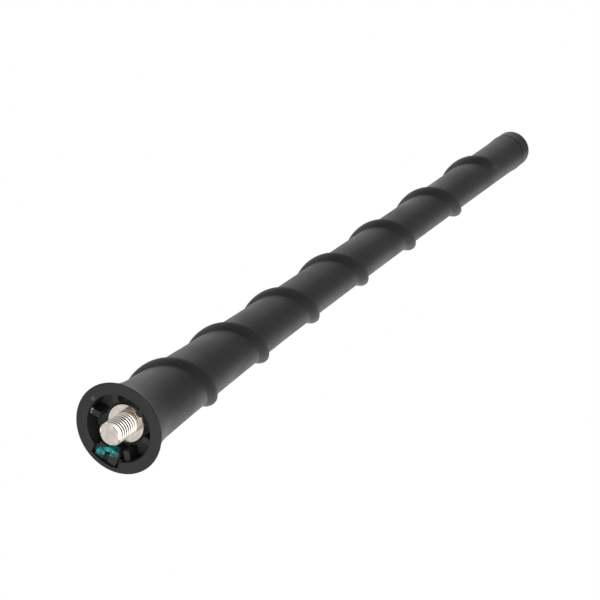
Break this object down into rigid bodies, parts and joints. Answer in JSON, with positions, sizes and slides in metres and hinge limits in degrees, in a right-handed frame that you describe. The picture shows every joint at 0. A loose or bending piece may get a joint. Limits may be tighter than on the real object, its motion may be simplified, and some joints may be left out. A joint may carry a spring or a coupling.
{
  "type": "car mast aerial",
  "caption": "Short tapering rubber whip aerial for a car, with a helical fin, a flared ribbed foot and a threaded metal stud that screws into the aerial base on the roof.",
  "frame": {"origin": "centre of the foot's rim, on the mast's axis, in the plane that seats on the car's aerial base", "axes": "+Z along the mast from the foot to the tip; +X through one rib of the foot, the index lug close to -Y"},
  "size_m": [0.0194, 0.0194, 0.1898],
  "materials": {
    "black_rubber": "matt moulded rubber",
    "black_plastic": "satin moulded plastic",
    "nickel": "bright nickel plate",
    "teal_paint": "glossy brushed-on paint",
    "glass_fibre": "drawn glass-fibre rod",
    "copper_wire": "enamelled copper wire",
    "solder": "dull solder"
  },
  "bodies": {
    "root": {"sheath": "black_rubber", "tip_cap": "black_plastic", "threaded_stud": "nickel", "colour_mark": "teal_paint", "core_rod": "glass_fibre", "aerial_winding": "copper_wire", "solder_joint": "solder"}
  },
  "joints": []
}
